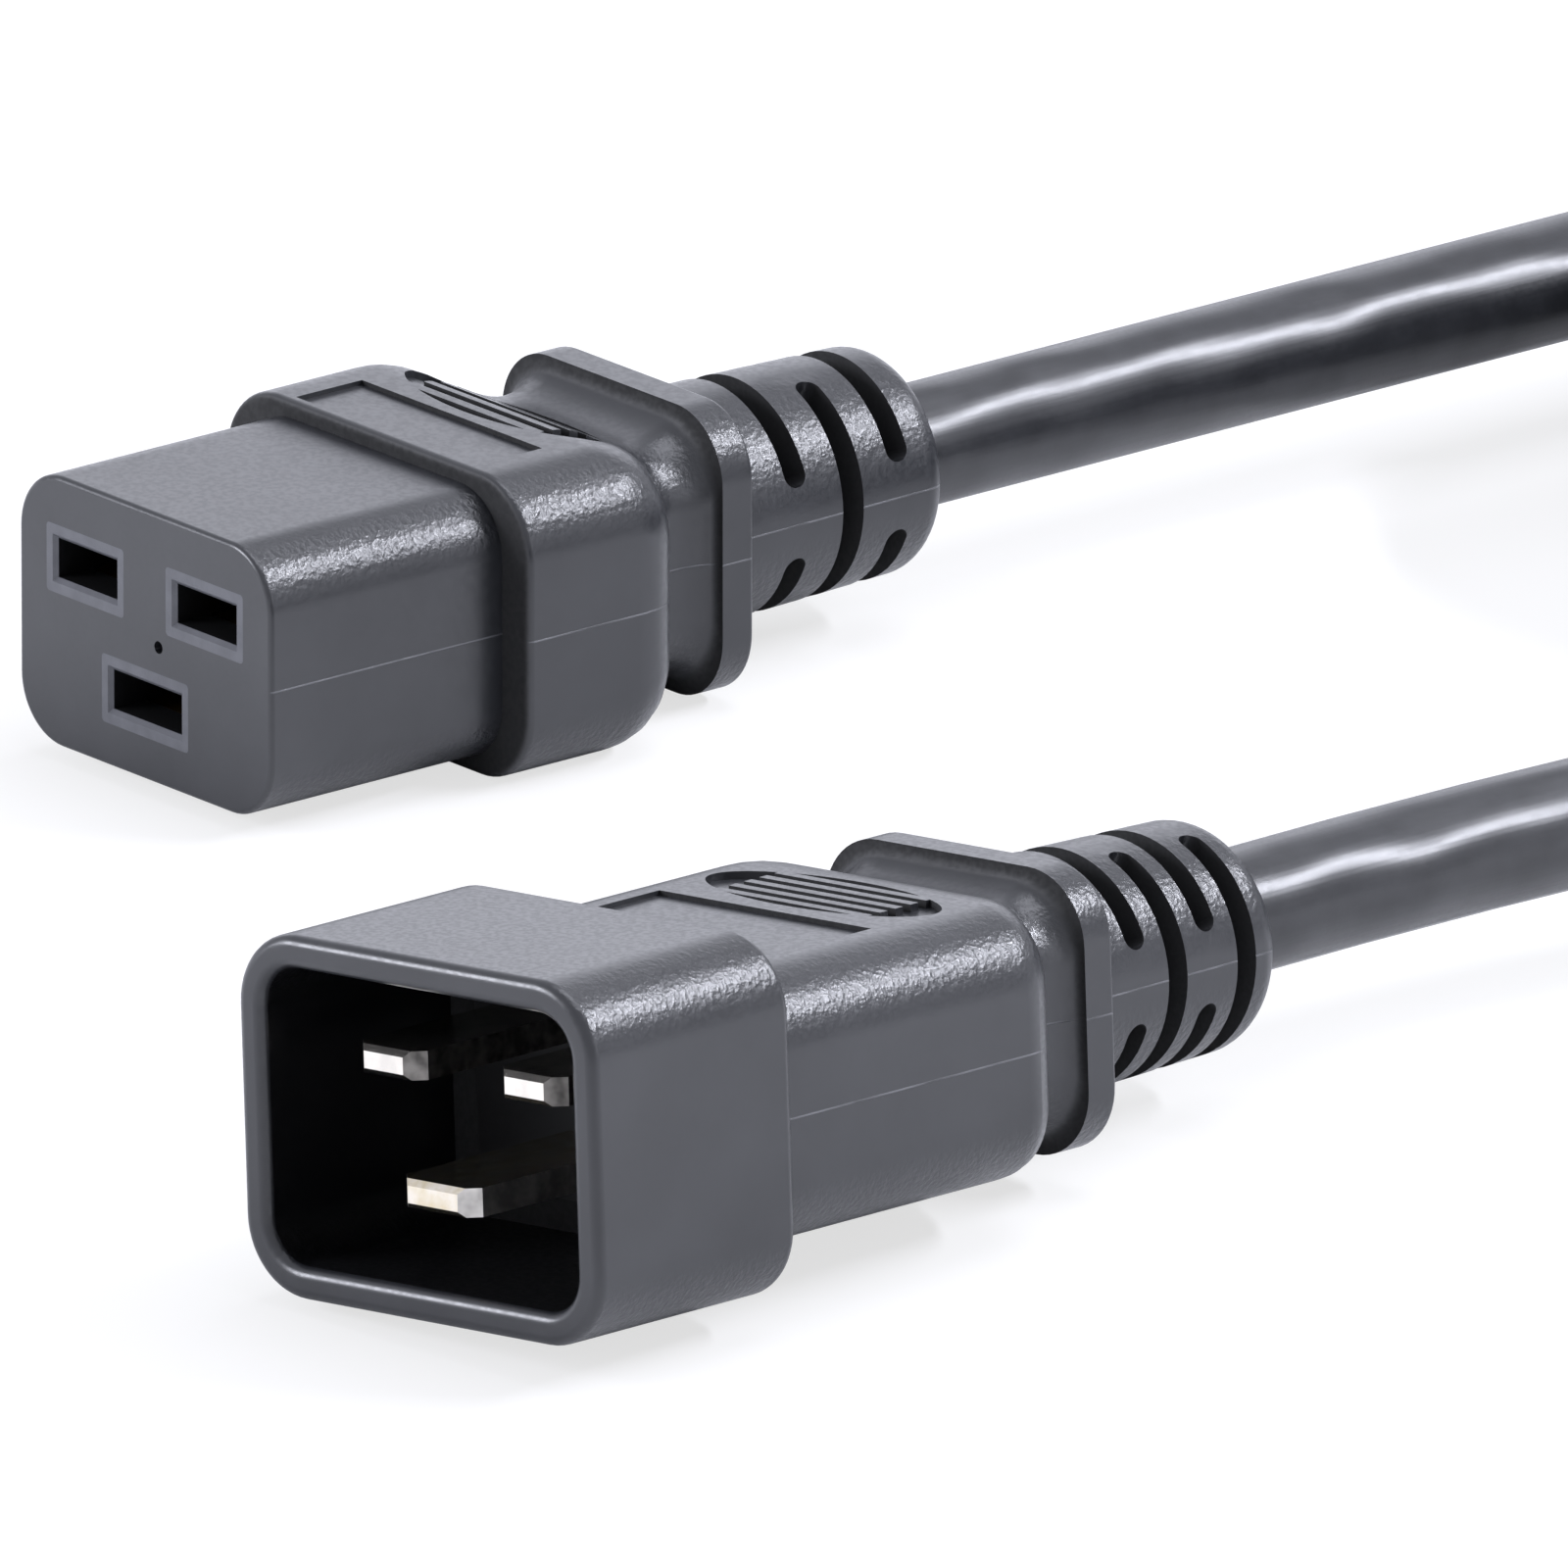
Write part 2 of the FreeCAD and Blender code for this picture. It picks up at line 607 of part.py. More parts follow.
def inner_mould(width, height, start, jacket_start, fillings):
    """Filling behind a carrier: full section, a taper, then a tail that grips the jacket."""
    width, height = width - 2 * INNER_MOULD_INSET, height - 2 * INNER_MOULD_INSET
    taper = start + INNER_MOULD_STRAIGHT
    tail = taper + INNER_MOULD_TAPER
    end = jacket_start + INNER_MOULD_TAIL
    size, corner = INNER_MOULD_TAIL_SIZE, INNER_MOULD_TAIL_CORNER
    sections = [rounded_wire(width, height, CARRIER_CORNER, taper), rounded_wire(size, size, corner, tail)]
    outside = fused([
        rounded_bar(width, height, CARRIER_CORNER, start, taper),
        Part.makeLoft(sections, True, True),
        rounded_bar(size, size, corner, tail, end),
    ])
    return outside, outside.cut(fillings)


# The two connectors. Each returns its nodes by name, in the connector's own frame.


def nozzle_size(name, side):
    """Place, slot size and outer size of one nozzle in the socket's face."""
    x, z, blade = pin_place(name, side)
    slot_width = blade + 2 * SLOT_SIDE_PLAY
    slot_height = BLADE_THICKNESS + 2 * SLOT_THICK_PLAY
    return x, z, slot_width, slot_height, slot_width + 2 * NOZZLE_RIM, slot_height + 2 * NOZZLE_RIM_HEIGHT


def nozzle(name, side, end):
    """Outer shape of one nozzle, from the face to the front of the carrier's block."""
    x, z, _, _, width, height = nozzle_size(name, side)
    bar = rounded_bar(width, height, NOZZLE_CORNER, 0, end)
    return bar.translated(FreeCAD.Vector(x, 0, z))


def slot_and_chamber(name, side):
    """Blade slot with its lead-in, and the chamber behind it that holds the contact."""
    x, z, width, height, _, _ = nozzle_size(name, side)
    _, _, blade = pin_place(name, side)
    lead = SLOT_LEAD_IN
    wide = [(x - width / 2 - lead, z - height / 2 - lead), (x + width / 2 + lead, z - height / 2 - lead),
            (x + width / 2 + lead, z + height / 2 + lead), (x - width / 2 - lead, z + height / 2 + lead)]
    deep = [(x - width / 2, z - height / 2), (x + width / 2, z - height / 2),
            (x + width / 2, z + height / 2), (x - width / 2, z + height / 2)]
    rings = []
    for y, ring in ((0.0, wide), (lead, deep)):
        rings.append(Part.makePolygon([FreeCAD.Vector(px, y, pz) for px, pz in ring + ring[:1]]))
    chamber_start = CONTACT_START - 2 * CHAMBER_PLAY
    chamber_width = blade + CONTACT_WIDTH_OVER + 2 * CHAMBER_PLAY
    chamber_height = CONTACT_MOUTH + 2 * SHEET + 2 * CHAMBER_PLAY
    return fused([
        Part.makeLoft(rings, True, True),
        block(x, z, width, height, lead, chamber_start),
        block(x, z, chamber_width, chamber_height, chamber_start, SOCKET_CARRIER_END),
    ])


def socket_carrier():
    """Rigid block with three nozzles, the blade slots and the contact chambers."""
    width, height = carrier_size()
    outside = [rounded_bar(width, height, CARRIER_CORNER, NOZZLE_LENGTH, SOCKET_CARRIER_END)]
    for name, side in CONTACTS:
        outside.append(nozzle(name, side, NOZZLE_LENGTH))
    outside = fused(outside)
    return outside, outside.cut([slot_and_chamber(name, side) for name, side in CONTACTS])


def carrier_cap():
    """Plate that closes the back of the socket's carrier, with a window for each tail."""
    width, height = carrier_size()
    end = SOCKET_CARRIER_END + CARRIER_CAP_THICKNESS
    plate = rounded_bar(width, height, CARRIER_CORNER, SOCKET_CARRIER_END, end)
    windows = []
    for name, side in CONTACTS:
        x, z, _ = pin_place(name, side)
        windows.append(block(x, z - CONTACT_MOUTH / 2, TAIL_WIDTH + 2 * CHAMBER_PLAY,
                             2 * SHEET + 2 * CHAMBER_PLAY, SOCKET_CARRIER_END, end))
    return plate, plate.cut(windows)


def socket_nodes():
    carrier_outside, carrier = socket_carrier()
    cap_outside, cap = carrier_cap()
    rear = SOCKET_CARRIER_END + CARRIER_CAP_THICKNESS
    width, height = carrier_size()
    jacket = rod(0, 0, CORD_DIAMETER / 2, SOCKET_JACKET_START, boot_end(SOCKET_FORM))
    nodes = {"socket_carrier": carrier}
    fillings = [jacket]
    for name, side in CONTACTS:
        x, z, _ = pin_place(name, side)
        outside = socket_contact_outside(name, side)
        core, conductor, core_outside = cored_wire(name, side, rear, SOCKET_JACKET_START)
        nodes["socket_contact_" + name] = outside.cut(crimp_hollow(x, z, crimp_start(rear)))
        nodes["socket_core_" + name] = core
        nodes["socket_conductor_" + name] = conductor
        fillings += [outside, core_outside]
    nodes["socket_carrier_cap"] = cap
    mould_outside, mould = inner_mould(width, height, rear, SOCKET_JACKET_START, fillings)
    nodes["socket_inner_mould"] = mould
    nose = rounded_bar(NOSE_WIDTH, NOSE_HEIGHT, NOSE_CORNER, 0, NOSE_LENGTH)
    nose = nose.makeFillet(NOSE_FRONT_ROUND, edges_in_plane(nose, 0))
    outside = moulding_outside(nose, NOSE_LENGTH, SOCKET_FORM, BODY_FRONT_ROUND)
    vent = rod(VENT_X, VENT_Z, VENT_RADIUS, 0, VENT_DEPTH)
    nodes["socket_overmould"] = outside.cut([carrier_outside, cap_outside, mould_outside, jacket, vent])
    return nodes


def recess():
    """Hollow of the shroud, from the rim to the floor that the blades stand on."""
    width, height = recess_size()
    return rounded_bar(width, height, RECESS_CORNER, 0, SHROUD_DEPTH)


def shroud():
    """Open rounded shroud of the plug, with a rounded rim and a thin back round the body."""
    width, height = shroud_size()
    solid = rounded_bar(width, height, SHROUD_CORNER, 0, SHROUD_LENGTH)
    solid = solid.makeFillet(SHROUD_REAR_ROUND, edges_in_plane(solid, SHROUD_LENGTH))
    solid = solid.cut(recess())
    return solid.makeFillet(RIM_ROUND, edges_in_plane(solid, 0))


def plug_nodes():
    recess_width, recess_height = recess_size()
    carrier_end = SHROUD_DEPTH + PLUG_CARRIER_LENGTH
    width = recess_width - 2 * PLUG_CARRIER_MARGIN
    height = recess_height - 2 * PLUG_CARRIER_MARGIN
    carrier_outside = rounded_bar(width, height, CARRIER_CORNER, SHROUD_DEPTH, carrier_end)
    jacket = rod(0, 0, CORD_DIAMETER / 2, PLUG_JACKET_START, boot_end(PLUG_FORM))
    nodes = {}
    fillings = [jacket]
    blades = []
    for name, side in CONTACTS:
        side = -side  # Each pole faces its own pole of the socket.
        x, z, _ = pin_place(name, side)
        outside = plug_blade_outside(name, side)
        core, conductor, core_outside = cored_wire(name, side, carrier_end, PLUG_JACKET_START)
        nodes["plug_blade_" + name] = outside.cut(crimp_hollow(x, z, crimp_start(carrier_end)))
        nodes["plug_core_" + name] = core
        nodes["plug_conductor_" + name] = conductor
        fillings += [outside, core_outside]
        blades.append(outside)
    nodes["plug_blade_carrier"] = carrier_outside.cut(blades)
    mould_outside, mould = inner_mould(width, height, carrier_end, PLUG_JACKET_START, fillings)
    nodes["plug_inner_mould"] = mould
    outside = moulding_outside(shroud(), SHROUD_LENGTH, PLUG_FORM)
    nodes["plug_overmould"] = outside.cut([recess(), carrier_outside, mould_outside] + fillings)
    return nodes


# Laying the connectors down, and the cable between them.


def socket_place():
    height = SOCKET_BODY_HEIGHT / 2
    return FreeCAD.Placement(FreeCAD.Vector(SOCKET_X, SOCKET_Y, height), FreeCAD.Rotation())


def plug_face_height():
    """Height of the plug's face when the rounded rear corner of its shroud rests on a surface."""
    width, height = shroud_size()
    roll, droop = math.radians(PLUG_ROLL), math.radians(PLUG_DROOP)
    across, up = width / 2 - SHROUD_CORNER, height / 2 - SHROUD_CORNER
    below = across * math.sin(roll) + up * math.cos(roll) + SHROUD_CORNER - SHROUD_REAR_ROUND
    behind = SHROUD_LENGTH - SHROUD_REAR_ROUND
    return behind * math.sin(droop) + below * math.cos(droop) + SHROUD_REAR_ROUND


def plug_place():
    roll = FreeCAD.Rotation(FreeCAD.Vector(0, 1, 0), -PLUG_ROLL)
    droop = FreeCAD.Rotation(FreeCAD.Vector(1, 0, 0), -PLUG_DROOP)
    yaw = FreeCAD.Rotation(FreeCAD.Vector(0, 0, 1), PLUG_YAW)
    turn = yaw.multiply(droop).multiply(roll)
    return FreeCAD.Placement(FreeCAD.Vector(PLUG_X, PLUG_Y, plug_face_height()), turn)


def coil_height():
    """Height of the middle of the coiled bundle, which lies on its lowest strand."""
    return COIL_BUNDLE_RADIUS + CORD_DIAMETER / 2


def coil_first_lay():
    """Angle round the bundle at which the strand from the socket joins it level."""
    return math.asin((SOCKET_BODY_HEIGHT / 2 - coil_height()) / COIL_BUNDLE_RADIUS)


def coil_centre():
    reach = COIL_RADIUS + COIL_BUNDLE_RADIUS * math.cos(coil_first_lay())
    return FreeCAD.Vector(SOCKET_X + reach, COIL_Y, coil_height())


def coil_point(turned):
    """Point of the cable's centre line after so many degrees of coil, clockwise from the west."""
    lay = coil_first_lay() - math.radians(turned) / COIL_STRANDS
    reach = COIL_RADIUS + COIL_BUNDLE_RADIUS * math.cos(lay)
    around = math.radians(180 - turned)
    rise = COIL_BUNDLE_RADIUS * math.sin(lay)
    return coil_centre() + FreeCAD.Vector(reach * math.cos(around), reach * math.sin(around), rise)


def coil():
    """One closed solid of the outer shape of the coiled bundle."""
    ring_radius = COIL_BUNDLE_RADIUS + CORD_DIAMETER / 2
    return Part.makeTorus(COIL_RADIUS, ring_radius, coil_centre(), FreeCAD.Vector(0, 0, 1))


def socket_leg_points():
    place = socket_place()
    return [place.multVec(FreeCAD.Vector(0, SOCKET_JACKET_START, 0)), coil_point(0)]


def plug_leg_points():
    place = plug_place()
    return [
        place.multVec(FreeCAD.Vector(0, PLUG_JACKET_START, 0)),
        place.multVec(FreeCAD.Vector(0, PLUG_JACKET_START + PLUG_STRAIGHT_RUN, 0)),
        FreeCAD.Vector(*PLUG_LEG_BEND),
        coil_point(360 * COIL_TURNS),
    ]


def cord_leg(points, bundle):
    """Tube along one leg, cut off where it meets the coil."""
    tube = swept(points, CORD_DIAMETER / 2)
    volume = route_wire(points).Length * math.pi * CORD_DIAMETER ** 2 / 4
    print("tube volume over section times length", round(tube.Volume / volume, 5))
    for before, corner, after in zip(points, points[1:], points[2:]):
        print("bend radius", round(bend_radius(before, corner, after), 1))
    pieces = tube.cut(bundle).Solids
    return min(pieces, key=lambda piece: (piece.CenterOfMass - points[0]).Length)


def laid(nodes, place):
    """Nodes of one connector moved to where it lies."""
    return {name: shape.transformed(place.toMatrix()) for name, shape in nodes.items()}


def build():
    nodes = laid(socket_nodes(), socket_place())
    nodes.update(laid(plug_nodes(), plug_place()))
    bundle = coil()
    nodes["cord_coil"] = bundle
    nodes["cord_socket_leg"] = cord_leg(socket_leg_points(), bundle)
    nodes["cord_plug_leg"] = cord_leg(plug_leg_points(), bundle)
    return nodes


os.makedirs("parts", exist_ok=True)
for node, shape in build().items():
    shape.exportStep(os.path.join("parts", node + ".step"))
    print(node, len(shape.Solids), "solid", round(shape.Volume, 2), "mm3", "valid", shape.isValid())
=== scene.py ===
"""Looks of the power extension cord: materials, the cable's own line, the camera and the stage."""

import math

import bpy
import numpy as np
from mathutils import Matrix, Vector


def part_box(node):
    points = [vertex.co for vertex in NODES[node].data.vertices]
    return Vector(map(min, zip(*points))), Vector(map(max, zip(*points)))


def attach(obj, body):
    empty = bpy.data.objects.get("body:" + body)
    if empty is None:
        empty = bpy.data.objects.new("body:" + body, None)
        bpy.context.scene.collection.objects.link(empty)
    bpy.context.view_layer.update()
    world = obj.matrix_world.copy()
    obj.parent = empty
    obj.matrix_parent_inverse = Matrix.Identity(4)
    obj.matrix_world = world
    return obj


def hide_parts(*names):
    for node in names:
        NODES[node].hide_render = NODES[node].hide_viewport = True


bl_info = {
    "name": "Power Extension Cord",
    "version": (1, 0, 0),
    "blender": (4, 5, 0),
    "location": "View3D > Sidebar > Extension Cord",
    "description": "Finishes the moulded socket, the shrouded plug and the coiled cable",
    "category": "Object",
}

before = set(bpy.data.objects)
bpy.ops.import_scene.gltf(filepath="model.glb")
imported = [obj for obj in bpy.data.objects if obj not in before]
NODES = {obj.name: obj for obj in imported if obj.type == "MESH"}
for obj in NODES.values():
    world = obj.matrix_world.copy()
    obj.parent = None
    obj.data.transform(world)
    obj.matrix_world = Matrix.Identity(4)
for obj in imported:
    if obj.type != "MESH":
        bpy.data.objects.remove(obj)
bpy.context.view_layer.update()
MM = 0.001

# How each connector lies: its mating face's centre, its turn about the vertical, the droop of
# its tail and its roll about its own length, as in the model.
SOCKET_FACE = Vector((-50.952, -2.129, 11.0)) * MM
PLUG_FACE = Vector((50.62, -60.96, 14.486)) * MM
PLUG_YAW = math.radians(7.0)
PLUG_DROOP = math.radians(3.0)
PLUG_ROLL = math.radians(5.2)

# How long the plug's shroud is, and the corners of two boxes, in each connector's own frame: one
# round the shroud's recess, behind its rounded rim, and one round the inside of the socket's nozzles.
# Inside both boxes the surfaces are painted near black as shade.
SHROUD_LENGTH = 19.3 * MM
RECESS = Vector((-14.3, 0.7, -10.35)) * MM, Vector((14.3, 18.5, 10.35)) * MM
NOZZLE_INSIDE = Vector((-14.0, 0.35, -10.0)) * MM, Vector((14.0, 24.0, 10.0)) * MM

# The cable's route, as in the model, apart from one point more on the socket's leg and a small lift
# of the plug's, which follow the photograph.
SOCKET_JACKET_START = 43.0 * MM
PLUG_JACKET_START = 49.0 * MM
PLUG_STRAIGHT_RUN = 61.0 * MM
PLUG_RUN_LIFT = 2.0 * MM
SOCKET_LEG_POINT = Vector((-51.3, 112.0, 11.0)) * MM
PLUG_LEG_BEND = Vector((55.0, 107.0, 12.8)) * MM
CABLE_RADIUS = 4.4 * MM
COIL_RADIUS = 51.5 * MM
COIL_BUNDLE_RADIUS = 7.9 * MM
COIL_STRANDS = 5
COIL_TURNS = 4.5
COIL_Y = 165.0 * MM
COIL_POINTS_PER_TURN = 16
POLES = ("line", "neutral", "earth")

# What the camera looks at, how far the floor goes, how far the camera sees the paper as plain
# white, the sky's strength on matte surfaces, and the light's faintly cold white.
VIEW_MIDDLE = Vector((3.079, 10.182, 12.234)) * MM
FLOOR_REACH = 6.0
PAPER_LIFT = 0.7
DIFFUSE_SKY = 0.5
LIGHT_COLOUR = "#f2f4ff"

# How near the corners of loose triangles are joined, and how far an edge turns that stays crisp.
SAME_POINT = 0.001 * MM
CRISP_EDGE = math.radians(32)

# Patterns of the mouldings: their grain, their slow change of tone and shallow sinks, the parting
# line with the patches where it shows, and how far back the steps that face the front start to be
# rougher and painted near black as shade.
GRAIN_SIZE = 0.45 * MM
SHADE_CLOUD = 9.0 * MM
SINK_DEPTH = 0.12 * MM
SEAM_HALF_WIDTH = 0.04 * MM
SEAM_HEIGHT = 0.05 * MM
SEAM_PATCH = 4.0 * MM
STEPS_START = 2.0 * MM

# Patterns of the carriers: streaks of flow and specks of filling.
FLOW_STREAK = 1.6 * MM
FILLER_SPECK = 0.2 * MM
FILLER_HEIGHT = 0.01 * MM

# Patterns of the jacket and the cores: waves over the twist, draw lines, changes of tone and specks.
TWIST_WAVE = 9.0 * MM
TWIST_HEIGHT = 1.1 * MM
DRAW_LINE_HEIGHT = 0.03 * MM
JACKET_CLOUD = 2.2 * MM
JACKET_SPECK = 0.3 * MM
JACKET_SPECK_HEIGHT = 0.006 * MM
CORE_CLOUD = 1.2 * MM
CORE_CLOUD_HEIGHT = 0.02 * MM

# Patterns of the metals: marks of rolling and drawing, tarnish, and mottle in the painted side shade.
ROLLING_MARK = 0.12 * MM
ROLLING_HEIGHT = 0.006 * MM
DRAWING_MARK = 0.15 * MM
DRAWING_HEIGHT = 0.01 * MM
TARNISH = 1.5 * MM
SIDE_MOTTLE = 1.4 * MM

# How strongly the plastics bend light.
PVC_IOR = 1.53
NYLON_IOR = 1.53


# Colours and small helpers.


def linear(colour_code):
    """An sRGB hex code as a linear colour: each channel through the sRGB curve."""
    parts = [int(colour_code[i:i + 2], 16) / 255 for i in (1, 3, 5)]
    curve = [c / 12.92 if c <= 0.04045 else ((c + 0.055) / 1.055) ** 2.4 for c in parts]
    return (*curve, 1.0)


def plug_turn():
    """Turn of the plug's own frame: rolled about its length, drooped, then turned level."""
    droop = Matrix.Rotation(-PLUG_DROOP, 4, "X")
    return Matrix.Rotation(PLUG_YAW, 4, "Z") @ droop @ Matrix.Rotation(-PLUG_ROLL, 4, "Y")


def plug_matrix():
    """Place of the plug's own frame, with its face's centre at the origin."""
    return Matrix.Translation(PLUG_FACE) @ plug_turn()


def add_node(tree, kind, settings=None, links=None):
    """Adds one node, with its settings, and puts a value, an output or another node's first
    output into each of the inputs named."""
    node = tree.nodes.new(kind)
    for name, value in (settings or {}).items():
        setattr(node, name, value)
    for name, value in (links or {}).items():
        if isinstance(value, bpy.types.Node):
            value = next(output for output in value.outputs if output.enabled)
        if isinstance(value, bpy.types.NodeSocket):
            tree.links.new(value, node.inputs[name])
        else:
            node.inputs[name].default_value = value
    return node


def new_material(name):
    """An empty material and its tree."""
    material = bpy.data.materials.new(name)
    material.use_nodes = True
    material.node_tree.nodes.clear()
    return material, material.node_tree


def own_coordinates(tree, place):
    """Object coordinates turned into a connector's own frame, with its face at the origin."""
    inverse = place.inverted()
    coordinates = add_node(tree, "ShaderNodeTexCoord").outputs["Object"]
    return add_node(tree, "ShaderNodeMapping", {"vector_type": "POINT"}, {
        "Vector": coordinates, "Location": inverse.translation, "Rotation": inverse.to_euler("XYZ"),
    })


def own_normal(tree, place):
    """The way that the surface looks, in a connector's own frame, as its X, Y and Z shares."""
    facing = add_node(tree, "ShaderNodeNewGeometry").outputs["Normal"]
    turned = add_node(tree, "ShaderNodeVectorRotate", {"rotation_type": "EULER_XYZ", "invert": True}, {
        "Vector": facing, "Rotation": place.to_euler("XYZ"),
    })
    return add_node(tree, "ShaderNodeSeparateXYZ", links={"Vector": turned}).outputs


def product(tree, first, *others):
    """All the factors multiplied, so masks give 1 only where each of them does."""
    for factor in others:
        first = add_node(tree, "ShaderNodeMath", {"operation": "MULTIPLY"}, {0: first, 1: factor})
    return first


def in_box(tree, own, low, high):
    """1 inside the box between two corners of a connector's own frame, 0 outside."""
    across = add_node(tree, "ShaderNodeSeparateXYZ", links={"Vector": own}).outputs
    middle, half = (low + high) / 2, (high - low) / 2
    inside = [add_node(tree, "ShaderNodeMath", {"operation": "COMPARE"}, {
        0: across[number], 1: middle[number], 2: half[number],
    }) for number in range(3)]
    return product(tree, *inside)


def streaks(tree, vector, size, squeeze, detail=3.0):
    """Noise whose lumps are about size metres across, and longer along Y by 1 / squeeze."""
    drawn = add_node(tree, "ShaderNodeMapping", links={"Vector": vector, "Scale": (1.0, squeeze, 1.0)})
    return add_node(tree, "ShaderNodeTexNoise", links={
        "Vector": drawn, "Scale": 1 / size, "Detail": detail,
    })


def painted(tree, colour, *coats):
    """The colour with coats laid over it in turn, each a share from 0 to 1 and a colour."""
    for share, coat in coats:
        colour = add_node(tree, "ShaderNodeMix", {"data_type": "RGBA"}, {
            "Factor": share, "A": colour, "B": coat,
        })
    return colour


def two_tone(tree, pattern, low, high, dark, light):
    """Colour that goes from dark to light as the pattern goes from low to high."""
    share = add_node(tree, "ShaderNodeMapRange", links={
        "Value": pattern, "From Min": low, "From Max": high,
    })
    return painted(tree, linear(dark), (share, linear(light)))


def relief(tree, *layers):
    """Normal of a surface with layers of relief, each a pattern from 0 to 1, its height in metres
    and its strength."""
    under = {}
    for pattern, height, strength in layers:
        bump = add_node(tree, "ShaderNodeBump", links={
            "Height": pattern, "Distance": height, "Strength": strength, **under,
        })
        under = {"Normal": bump}
    return bump


def finish_material(tree, surface):
    """Puts a Principled shader with these inputs into the material's output."""
    shader = add_node(tree, "ShaderNodeBsdfPrincipled", links=surface)
    add_node(tree, "ShaderNodeOutputMaterial", links={"Surface": shader})


# Materials, each named for what the real one is. Their noise stays near its middle, so the relief
# that shows is about a quarter of the height given.


def shaded_steps_mask(tree, own, normal):
    """1 on the steps that face the front, behind the face, and 0 elsewhere: where painted shade goes."""
    across = add_node(tree, "ShaderNodeSeparateXYZ", links={"Vector": own}).outputs
    looks_forward = add_node(tree, "ShaderNodeMapRange", links={
        "Value": normal["Y"], "From Min": -0.95, "From Max": -0.6, "To Min": 1.0, "To Max": 0.0,
    })
    behind_face = add_node(tree, "ShaderNodeMath", {"operation": "GREATER_THAN"}, {
        0: across["Y"], 1: STEPS_START,
    })
    return product(tree, looks_forward, behind_face)


def parting_line(tree, own, sideways, start):
    """Thin line round the sides at mid height, from start on: 1 on it and 0 off it, and how pale
    it is, which comes and goes in patches."""
    across = add_node(tree, "ShaderNodeSeparateXYZ", links={"Vector": own}).outputs
    on_side = add_node(tree, "ShaderNodeMapRange", links={
        "Value": sideways, "From Min": 0.5, "From Max": 0.8,
    })
    past_start = add_node(tree, "ShaderNodeMath", {"operation": "GREATER_THAN"}, {
        0: across["Y"], 1: start,
    })
    height = add_node(tree, "ShaderNodeMath", {"operation": "ABSOLUTE"}, {0: across["Z"]})
    near_line = add_node(tree, "ShaderNodeMapRange", {"interpolation_type": "SMOOTHSTEP"}, {
        "Value": height, "From Min": SEAM_HALF_WIDTH, "From Max": 2 * SEAM_HALF_WIDTH,
        "To Min": 1.0, "To Max": 0.0,
    })
    line = product(tree, near_line, on_side, past_start)
    patches = add_node(tree, "ShaderNodeTexNoise", links={"Vector": own, "Scale": 1 / SEAM_PATCH})
    broken = add_node(tree, "ShaderNodeMapRange", links={
        "Value": patches, "From Min": 0.35, "From Max": 0.6, "To Min": 0.05, "To Max": 0.32,
    })
    return line, product(tree, line, broken)


def moulded_pvc(name, place, look, seam_start, shaded_box=None):
    """Flexible PVC, injection moulded in a spark-eroded tool: charcoal grey and satin. The grain
    shows as speckles on the rounded edges, the steps that face the front are rougher and painted
    near black as shade, and a thin parting line runs round the sides. Inside the box given, if any,
    the surface is painted near black as shade. The real grain is about 0.1 mm across, and is drawn
    coarser so that it shows."""
    material, tree = new_material(name)
    own = own_coordinates(tree, place)
    normal = own_normal(tree, place)
    sideways = add_node(tree, "ShaderNodeMath", {"operation": "ABSOLUTE"}, {0: normal["X"]})
    upright = add_node(tree, "ShaderNodeMath", {"operation": "ABSOLUTE"}, {0: normal["Z"]})
    on_edge = add_node(tree, "ShaderNodeMapRange", links={
        "Value": product(tree, sideways, upright), "From Min": 0.12, "From Max": 0.42,
    })
    shaded_steps = shaded_steps_mask(tree, own, normal)
    seam, seam_paleness = parting_line(tree, own, sideways, seam_start)
    cloud = add_node(tree, "ShaderNodeTexNoise", links={
        "Vector": own, "Scale": 1 / SHADE_CLOUD, "Detail": 3.0,
    })
    speck = add_node(tree, "ShaderNodeTexNoise", links={
        "Vector": own, "Scale": 1 / GRAIN_SIZE, "Detail": 3.0,
    })
    base = two_tone(tree, cloud, 0.3, 0.7, look.pvc_dark, look.pvc_light)
    # The steps that face the front are painted near black as shade.
    coats = [(seam_paleness, linear("#8f9095")), (product(tree, shaded_steps, 0.95), linear("#060607"))]
    # The shroud's inside is painted near black as shade.
    if shaded_box:
        coats.append((product(tree, in_box(tree, own, *shaded_box), 0.92), linear("#040405")))
    satin = add_node(tree, "ShaderNodeMapRange", links={
        "Value": speck, "From Min": 0.4, "From Max": 0.6, "To Min": 0.36, "To Max": 0.28,
    })
    roughness = add_node(tree, "ShaderNodeMath", {"operation": "MULTIPLY_ADD"}, {
        0: shaded_steps, 1: 0.5, 2: satin,
    })
    grain = (speck, look.grain_depth, on_edge)
    ridge = (seam, SEAM_HEIGHT, 0.8)
    sinks = (cloud, SINK_DEPTH, 0.5)
    finish_material(tree, {
        "Base Color": painted(tree, base, *coats), "Roughness": roughness, "IOR": PVC_IOR,
        "Normal": relief(tree, grain, ridge, sinks),
    })
    return material


def glass_filled_nylon(name, place, dark, light, inside):
    """Rigid nylon of the carriers: smoother than the soft moulding and a shade lighter, with the
    faint flow streaks that its filling leaves, and painted near black as shade inside its slots."""
    material, tree = new_material(name)
    own = own_coordinates(tree, place)
    flow = streaks(tree, own, FLOW_STREAK, 0.3, 4.0)
    speck = add_node(tree, "ShaderNodeTexNoise", links={"Vector": own, "Scale": 1 / FILLER_SPECK})
    base = two_tone(tree, flow, 0.35, 0.65, dark, light)
    # Inside the box the carrier is painted near black as shade.
    slots = in_box(tree, own, *inside)
    finish_material(tree, {
        "Base Color": painted(tree, base, (slots, linear("#070708"))), "Roughness": 0.42, "IOR": NYLON_IOR,
        "Normal": relief(tree, (speck, FILLER_HEIGHT, 0.7)),
    })
    return material


